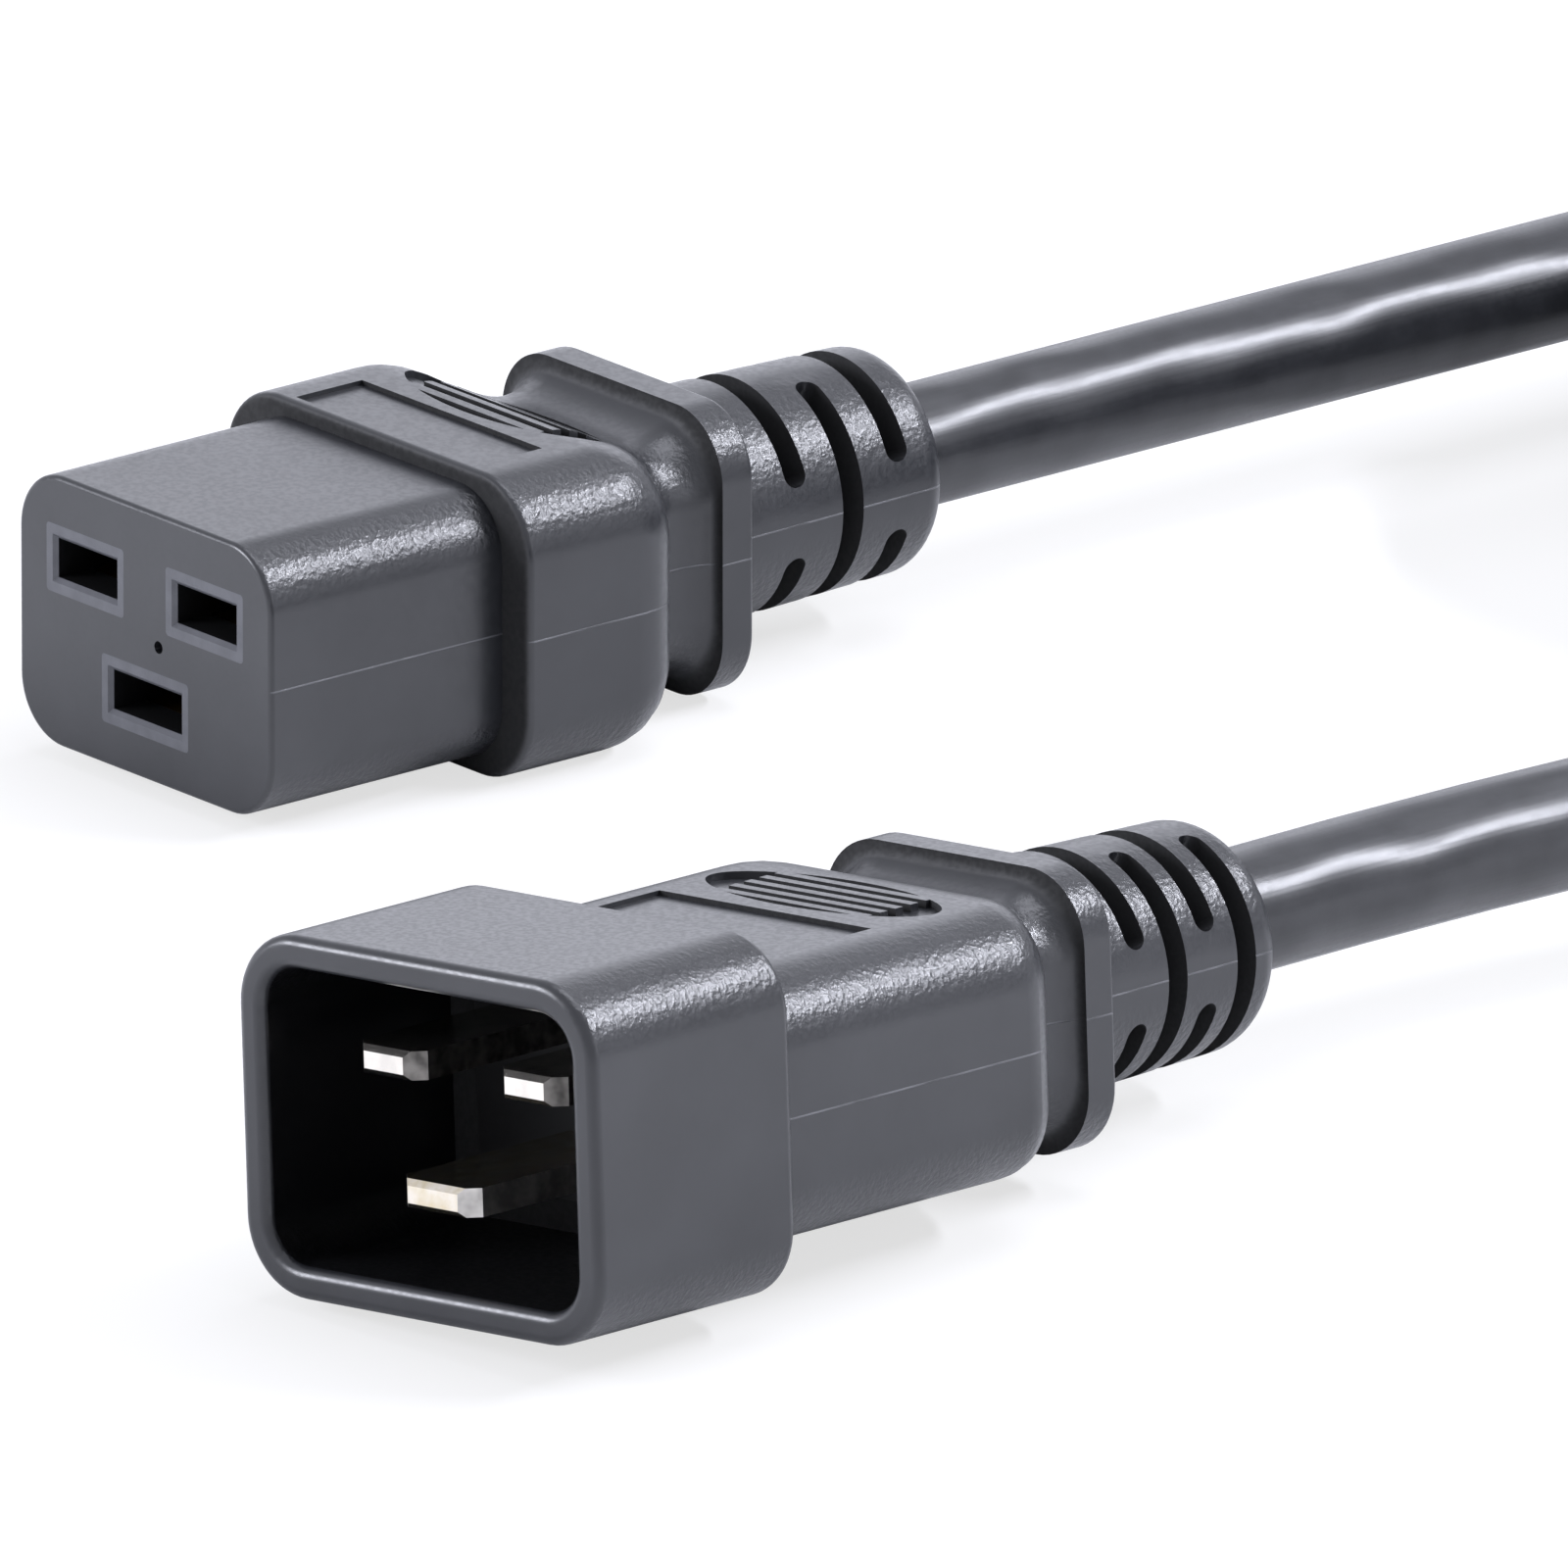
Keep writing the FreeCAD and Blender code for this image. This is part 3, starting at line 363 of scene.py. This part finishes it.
def jacket_pvc(name, look):
    """Extruded PVC jacket: smoother and glossier than the mouldings, with the slow waves that
    the twisted cores press into it and fine draw lines along it."""
    material, tree = new_material(name)
    around = add_node(tree, "ShaderNodeTexCoord").outputs["UV"]
    spot = add_node(tree, "ShaderNodeTexCoord").outputs["Object"]
    wave = add_node(tree, "ShaderNodeTexNoise", links={
        "Vector": spot, "Scale": 1 / TWIST_WAVE, "Detail": 0.0,
    })
    cloud = add_node(tree, "ShaderNodeTexNoise", links={
        "Vector": spot, "Scale": 1 / JACKET_CLOUD, "Detail": 3.0,
    })
    speck = add_node(tree, "ShaderNodeTexNoise", links={"Vector": spot, "Scale": 1 / JACKET_SPECK})
    drawn = add_node(tree, "ShaderNodeMapping", links={"Vector": around, "Scale": (4.0, 60.0, 1.0)})
    lines = add_node(tree, "ShaderNodeTexNoise", links={"Vector": drawn, "Scale": 1.0})
    roughness = add_node(tree, "ShaderNodeMapRange", links={
        "Value": speck, "From Min": 0.35, "From Max": 0.65, "To Min": 0.29, "To Max": 0.34,
    })
    waves = (wave, TWIST_HEIGHT, 0.8)
    draw_lines = (lines, DRAW_LINE_HEIGHT, 0.35)
    specks = (speck, JACKET_SPECK_HEIGHT, 0.5)
    finish_material(tree, {
        "Base Color": two_tone(tree, cloud, 0.3, 0.7, look.jacket_dark, look.jacket_light),
        "Roughness": roughness, "IOR": PVC_IOR,
        "Normal": relief(tree, waves, draw_lines, specks),
    })
    return material


def nickel_plate(name, colour, side_shade_dark, side_shade_light):
    """Nickel plating on brass blades: warm silver, bright, with fine rolling marks lengthwise. The
    faces that look sideways are rougher, and painted darker and greyer as shade."""
    material, tree = new_material(name)
    own = own_coordinates(tree, plug_matrix())
    marks = streaks(tree, own, ROLLING_MARK, 0.06)
    tarnish = add_node(tree, "ShaderNodeTexNoise", links={
        "Vector": own, "Scale": 1 / TARNISH, "Detail": 3.0,
    })
    side_mottle = add_node(tree, "ShaderNodeTexNoise", links={"Vector": own, "Scale": 1 / SIDE_MOTTLE})
    plated = two_tone(tree, tarnish, 0.3, 0.7, colour, "#e2dcd2")
    side_shade = two_tone(tree, side_mottle, 0.35, 0.65, side_shade_dark, side_shade_light)
    sideways = add_node(tree, "ShaderNodeMath", {"operation": "ABSOLUTE"}, {
        0: own_normal(tree, plug_matrix())["X"],
    })
    side_faces = add_node(tree, "ShaderNodeMapRange", links={"Value": sideways, "From Min": 0.3, "From Max": 0.55})
    rolled = add_node(tree, "ShaderNodeMapRange", links={
        "Value": marks, "From Min": 0.3, "From Max": 0.7, "To Min": 0.14, "To Max": 0.26,
    })
    roughness = add_node(tree, "ShaderNodeMath", {"operation": "MULTIPLY_ADD"}, {0: side_faces, 1: 0.2, 2: rolled})
    finish_material(tree, {
        # The faces that look sideways are painted darker and greyer as shade.
        "Base Color": painted(tree, plated, (side_faces, side_shade)), "Metallic": 1.0, "Roughness": roughness,
        "Normal": relief(tree, (marks, ROLLING_HEIGHT, 0.6)),
    })
    return material


def formed_metal(name, dark, light, rough):
    """Brass strip or copper strand: warm metal with the streaks of rolling or drawing."""
    material, tree = new_material(name)
    spot = add_node(tree, "ShaderNodeTexCoord").outputs["Object"]
    marks = streaks(tree, spot, DRAWING_MARK, 0.08)
    finish_material(tree, {
        "Base Color": two_tone(tree, marks, 0.3, 0.7, dark, light), "Metallic": 1.0, "Roughness": rough,
        "Normal": relief(tree, (marks, DRAWING_HEIGHT, 0.5)),
    })
    return material


def core_insulation(name, dark, light):
    """Thin PVC insulation of one core: smooth, slightly glossy, a little uneven in tone."""
    material, tree = new_material(name)
    spot = add_node(tree, "ShaderNodeTexCoord").outputs["Object"]
    cloud = add_node(tree, "ShaderNodeTexNoise", links={
        "Vector": spot, "Scale": 1 / CORE_CLOUD, "Detail": 3.0,
    })
    finish_material(tree, {
        "Base Color": two_tone(tree, cloud, 0.3, 0.7, dark, light), "Roughness": 0.38, "IOR": PVC_IOR,
        "Normal": relief(tree, (cloud, CORE_CLOUD_HEIGHT, 0.4)),
    })
    return material


def white_paper(name, colour):
    """Matte paper sweep. The camera sees it part of the way to plain white, so the object's
    shadow on it is light."""
    material, tree = new_material(name)
    paper = add_node(tree, "ShaderNodeBsdfDiffuse", links={"Color": linear(colour)})
    white = add_node(tree, "ShaderNodeEmission", links={"Color": linear("#ffffff"), "Strength": 1.0})
    camera_ray = add_node(tree, "ShaderNodeLightPath").outputs["Is Camera Ray"]
    lifted = add_node(tree, "ShaderNodeMixShader", links={
        "Fac": product(tree, camera_ray, PAPER_LIFT), 1: paper, 2: white,
    })
    add_node(tree, "ShaderNodeOutputMaterial", links={"Surface": lifted})
    return material


# Shapes.


def even_shading():
    """Geometry nodes that join a node's loose triangles and shade it smooth, apart from its
    crisp edges."""
    name = "even_shading"
    if name in bpy.data.node_groups:
        return bpy.data.node_groups[name]
    group = bpy.data.node_groups.new(name, "GeometryNodeTree")
    group.interface.new_socket("Geometry", in_out="INPUT", socket_type="NodeSocketGeometry")
    group.interface.new_socket("Geometry", in_out="OUTPUT", socket_type="NodeSocketGeometry")
    start = add_node(group, "NodeGroupInput")
    joined = add_node(group, "GeometryNodeMergeByDistance", links={
        "Geometry": start.outputs[0], "Distance": SAME_POINT,
    })
    smooth = add_node(group, "GeometryNodeSetShadeSmooth", {"domain": "FACE"}, {"Geometry": joined})
    turn = add_node(group, "GeometryNodeInputMeshEdgeAngle").outputs["Unsigned Angle"]
    crisp = add_node(group, "FunctionNodeCompare", {"data_type": "FLOAT", "operation": "GREATER_THAN"}, {
        "A": turn, "B": CRISP_EDGE,
    })
    edged = add_node(group, "GeometryNodeSetShadeSmooth", {"domain": "EDGE"}, {
        "Geometry": smooth, "Selection": crisp, "Shade Smooth": False,
    })
    add_node(group, "NodeGroupOutput", links={0: edged})
    return group


def dress(node_name, material):
    """Gives a node its material and even shading."""
    node = NODES[node_name]
    node.data.materials.clear()
    node.data.materials.append(material)
    node.modifiers.new("even_shading", "NODES").node_group = even_shading()
    weights = node.modifiers.new("flat_faces_lead", "WEIGHTED_NORMAL")
    weights.keep_sharp = True


def coil_place():
    """Centre of the coil and the angle round its bundle at which the socket's end joins it."""
    rise = COIL_BUNDLE_RADIUS + CABLE_RADIUS
    first = math.asin((SOCKET_FACE.z - rise) / COIL_BUNDLE_RADIUS)
    reach = COIL_RADIUS + COIL_BUNDLE_RADIUS * math.cos(first)
    return Vector((SOCKET_FACE.x + reach, COIL_Y, rise)), first


def coil_line():
    """Points of the coil: a ring of radius R + r cos b, with the angle b round the bundle going
    back one strand's place for each turn."""
    centre, first = coil_place()
    turned = np.linspace(0, 2 * math.pi * COIL_TURNS, int(COIL_POINTS_PER_TURN * COIL_TURNS) + 1)
    lay = first - turned / COIL_STRANDS
    reach = COIL_RADIUS + COIL_BUNDLE_RADIUS * np.cos(lay)
    around = math.pi - turned
    return np.stack([centre.x + reach * np.cos(around), centre.y + reach * np.sin(around),
                     centre.z + COIL_BUNDLE_RADIUS * np.sin(lay)], axis=1)


def cable_points():
    """The whole route: out of the socket, round the coil, and back along the plug's leg."""
    socket_start = SOCKET_FACE + Vector((0, SOCKET_JACKET_START, 0))
    along = plug_turn() @ Vector((0, 1, 0))
    plug_start = PLUG_FACE + along * PLUG_JACKET_START
    plug_run_end = PLUG_FACE + along * (PLUG_JACKET_START + PLUG_STRAIGHT_RUN)
    plug_run_end.z += PLUG_RUN_LIFT
    ends = [plug_start, plug_run_end, PLUG_LEG_BEND]
    return np.vstack([[socket_start, SOCKET_LEG_POINT], coil_line(), ends[::-1]])


# What a user would change.


class CordLook(bpy.types.PropertyGroup):
    """Sizes and colours of the extension cord's finish."""
    pvc_dark: bpy.props.StringProperty(
        name="Moulding, dark", description="Darker tone of the moulded PVC, as an sRGB hex code",
        default="#1f2023")
    pvc_light: bpy.props.StringProperty(
        name="Moulding, light", description="Lighter tone of the moulded PVC, as an sRGB hex code",
        default="#28292c")
    jacket_dark: bpy.props.StringProperty(
        name="Jacket, dark", description="Darker tone of the cable's jacket, as an sRGB hex code",
        default="#191a1d")
    jacket_light: bpy.props.StringProperty(
        name="Jacket, light", description="Lighter tone of the cable's jacket, as an sRGB hex code",
        default="#242528")
    grain_depth: bpy.props.FloatProperty(
        name="Grain depth", description="Depth of the grain that the tool leaves in the moulding",
        default=0.085 * MM, min=0.0, subtype="DISTANCE", unit="LENGTH", precision=6)
    cable_diameter: bpy.props.FloatProperty(
        name="Cable diameter", description="Outside diameter of the cable",
        default=2 * CABLE_RADIUS, min=0.001, subtype="DISTANCE", unit="LENGTH", precision=5)
    cable_length: bpy.props.FloatProperty(
        name="Cable length", description="Length of the cable between the connectors' insides",
        default=1.738, min=0.1, subtype="DISTANCE", unit="LENGTH")
    camera_distance: bpy.props.FloatProperty(
        name="Camera distance", description="Distance of the camera from the object's middle",
        default=4.0, min=0.5, subtype="DISTANCE", unit="LENGTH")
    camera_azimuth: bpy.props.FloatProperty(
        name="Camera azimuth", description="Direction that the camera stands in, from the front",
        default=math.radians(50.4), subtype="ANGLE")
    camera_elevation: bpy.props.FloatProperty(
        name="Camera elevation", description="Height of the camera's direction above level",
        default=math.radians(18.5), subtype="ANGLE")
    view_width: bpy.props.FloatProperty(
        name="View width", description="Width of what the camera takes in at the object",
        default=0.10687, min=0.01, subtype="DISTANCE", unit="LENGTH", precision=5)


# One operator for each piece or group of like pieces.


class CORD_OT_camera(bpy.types.Operator):
    """Stand the camera where the photograph was taken from"""
    bl_idname = "extension_cord.camera"
    bl_label = "Camera"

    def execute(self, context):
        look = context.scene.extension_cord
        data = bpy.data.cameras.new("camera")
        camera = bpy.data.objects.new("camera", data)
        context.scene.collection.objects.link(camera)
        azimuth, elevation = look.camera_azimuth, look.camera_elevation
        back = Vector((math.sin(azimuth) * math.cos(elevation), -math.cos(azimuth) * math.cos(elevation),
                       math.sin(elevation)))
        camera.location = VIEW_MIDDLE + back * look.camera_distance
        camera.rotation_mode = "QUATERNION"
        camera.rotation_quaternion = (-back).to_track_quat("-Z", "Y")
        data.sensor_width = 36.0
        data.lens = data.sensor_width * look.camera_distance / look.view_width
        data.clip_start, data.clip_end = 0.1, 20.0
        context.scene.camera = camera
        return {"FINISHED"}


class CORD_OT_cable(bpy.types.Operator):
    """Lay the cable from the socket, through the coil of its spare length, to the plug"""
    bl_idname = "extension_cord.cable"
    bl_label = "Cable"

    def execute(self, context):
        look = context.scene.extension_cord
        points = cable_points()
        curve = bpy.data.curves.new("cable", "CURVE")
        curve.dimensions = "3D"
        spline = curve.splines.new("NURBS")
        spline.points.add(len(points) - 1)
        spline.points.foreach_set("co", np.column_stack([points, np.ones(len(points))]).ravel())
        spline.order_u = 3
        spline.use_endpoint_u = True
        spline.use_smooth = True
        spline.resolution_u = 8
        curve.resolution_u = 8
        curve.bevel_depth = look.cable_diameter / 2
        curve.bevel_resolution = 10
        curve.use_fill_caps = True
        cable = bpy.data.objects.new("cable", curve)
        context.scene.collection.objects.link(cable)
        cable.data.materials.append(jacket_pvc("extruded_pvc_jacket", look))
        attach(cable, "root")
        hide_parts("cord_socket_leg", "cord_coil", "cord_plug_leg")
        return {"FINISHED"}


class CORD_OT_mouldings(bpy.types.Operator):
    """Finish the two soft mouldings and the fillings inside them"""
    bl_idname = "extension_cord.mouldings"
    bl_label = "Mouldings"

    def execute(self, context):
        look = context.scene.extension_cord
        socket = moulded_pvc("moulded_pvc_socket", Matrix.Translation(SOCKET_FACE), look, 0.0)
        plug = moulded_pvc("moulded_pvc_plug", plug_matrix(), look, SHROUD_LENGTH, RECESS)
        for end, material in (("socket", socket), ("plug", plug)):
            dress(end + "_overmould", material)
            dress(end + "_inner_mould", core_insulation("filling_pvc_" + end, "#1d1d1f", "#28282a"))
        return {"FINISHED"}


class CORD_OT_carriers(bpy.types.Operator):
    """Finish the rigid carriers: the framed slots of the socket and the floor of the shroud"""
    bl_idname = "extension_cord.carriers"
    bl_label = "Carriers"

    def execute(self, context):
        socket = Matrix.Translation(SOCKET_FACE)
        nylon = glass_filled_nylon("glass_filled_nylon", socket, "#424348", "#4c4d52", NOZZLE_INSIDE)
        dark = glass_filled_nylon("dark_nylon_with_painted_shade", plug_matrix(), "#0c0c0d", "#121214", RECESS)
        dress("socket_carrier", nylon)
        dress("socket_carrier_cap", nylon)
        dress("plug_blade_carrier", dark)
        return {"FINISHED"}


class CORD_OT_metal(bpy.types.Operator):
    """Finish the blades, the sprung contacts and the conductors"""
    bl_idname = "extension_cord.metal"
    bl_label = "Blades, contacts and conductors"

    def execute(self, context):
        nickel = nickel_plate("nickel_plated_brass", "#c9c5bd", "#4c4a47", "#7d7a75")
        warm = nickel_plate("worn_nickel_plated_brass", "#cdbf9d", "#a19e99", "#c8c5bf")
        # The contacts sit deep in the slots, so their brass is painted near black as shade.
        brass = formed_metal("brass_strip_painted_dark_as_shade", "#33260f", "#46361a", 0.5)
        copper = formed_metal("copper_strand", "#a55a36", "#c97b50", 0.35)
        for pole in POLES:
            dress("plug_blade_" + pole, warm if pole == "earth" else nickel)
            dress("socket_contact_" + pole, brass)
            for end in ("socket", "plug"):
                dress(end + "_conductor_" + pole, copper)
        return {"FINISHED"}


class CORD_OT_cores(bpy.types.Operator):
    """Finish the insulated cores in their colours"""
    bl_idname = "extension_cord.cores"
    bl_label = "Cores"

    def execute(self, context):
        colours = {"line": ("#1b1b1d", "#262629"), "neutral": ("#d6d4cc", "#e3e1d9"),
                   "earth": ("#1d6b34", "#2b7d41")}
        for pole, (dark, light) in colours.items():
            insulation = core_insulation("core_pvc_" + pole, dark, light)
            for end in ("socket", "plug"):
                dress(end + "_core_" + pole, insulation)
        return {"FINISHED"}


class CORD_OT_stage(bpy.types.Operator):
    """Set up the white paper sweep and the soft lamps"""
    bl_idname = "extension_cord.stage"
    bl_label = "Stage"

    def execute(self, context):
        scene = context.scene
        scene.view_settings.view_transform = "Standard"
        self.sweep(scene)
        self.world(scene)
        lamps = (
            ("overhead_lamp", (0.0, 0.3, 1.2), (0.8, 0.8), 8.0),
            ("back_lamp", (-1.1, 0.9, 0.5), (1.3, 0.8), 3.0),
            ("edge_lamp", (0.50, 0.77, 0.75), (0.7, 0.07), 14.0),
            ("face_lamp", (-0.7, -1.0, 0.45), (0.5, 0.5), 15.0),
            ("side_lamp", (1.15, 0.45, 0.35), (0.6, 0.6), 1.5),
        )
        for name, place, size, power in lamps:
            self.lamp(scene, name, place, size, power)
        return {"FINISHED"}

    def sweep(self, scene):
        """Flat floor that covers what any view takes in."""
        lowest = min(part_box(name)[0].z for name in NODES)
        near, far = -FLOOR_REACH, FLOOR_REACH
        corners = [(near, near, lowest), (far, near, lowest), (far, far, lowest), (near, far, lowest)]
        mesh = bpy.data.meshes.new("paper_sweep")
        mesh.from_pydata(corners, [], [(0, 1, 2, 3)])
        floor = bpy.data.objects.new("paper_sweep", mesh)
        scene.collection.objects.link(floor)
        mesh.materials.append(white_paper("matte_white_paper", "#f6f6f6"))

    def world(self, scene):
        """White to the camera and in reflections, and a plain soft light on the object."""
        world = bpy.data.worlds.new("studio")
        scene.world = world
        world.use_nodes = True
        tree = world.node_tree
        tree.nodes.clear()
        rays = add_node(tree, "ShaderNodeLightPath").outputs
        strength = add_node(tree, "ShaderNodeMapRange", links={
            "Value": rays["Is Diffuse Ray"], "To Min": 1.0, "To Max": DIFFUSE_SKY,
        })
        colour = painted(tree, linear(LIGHT_COLOUR), (rays["Is Camera Ray"], linear("#ffffff")))
        background = add_node(tree, "ShaderNodeBackground", links={"Color": colour, "Strength": strength})
        add_node(tree, "ShaderNodeOutputWorld", links={"Surface": background})

    def lamp(self, scene, name, place, size, power):
        data = bpy.data.lights.new(name, "AREA")
        data.shape = "RECTANGLE"
        data.size, data.size_y = size
        data.energy = power
        data.color = linear(LIGHT_COLOUR)[:3]
        lamp = bpy.data.objects.new(name, data)
        lamp.location = place
        lamp.rotation_mode = "QUATERNION"
        lamp.rotation_quaternion = (-Vector(place)).to_track_quat("-Z", "Y")
        scene.collection.objects.link(lamp)


OPERATORS = (CORD_OT_camera, CORD_OT_cable, CORD_OT_mouldings, CORD_OT_carriers, CORD_OT_metal,
             CORD_OT_cores, CORD_OT_stage)


class CORD_PT_panel(bpy.types.Panel):
    """Lists the extension cord's sizes, colours and pieces"""
    bl_idname = "CORD_PT_panel"
    bl_label = "Extension Cord"
    bl_space_type = "VIEW_3D"
    bl_region_type = "UI"
    bl_category = "Extension Cord"

    def draw(self, context):
        look = context.scene.extension_cord
        for name in CordLook.__annotations__:
            self.layout.prop(look, name)
        for operator in OPERATORS:
            self.layout.operator(operator.bl_idname)


CLASSES = (CordLook, *OPERATORS, CORD_PT_panel)


def register():
    for each in CLASSES:
        bpy.utils.register_class(each)
    bpy.types.Scene.extension_cord = bpy.props.PointerProperty(type=CordLook)


def unregister():
    del bpy.types.Scene.extension_cord
    for each in reversed(CLASSES):
        bpy.utils.unregister_class(each)


def main():
    register()
    steps = bpy.ops.extension_cord
    steps.camera()
    steps.cable()
    steps.mouldings()
    steps.carriers()
    steps.metal()
    steps.cores()
    steps.stage()


if __name__ == "__main__":
    main()
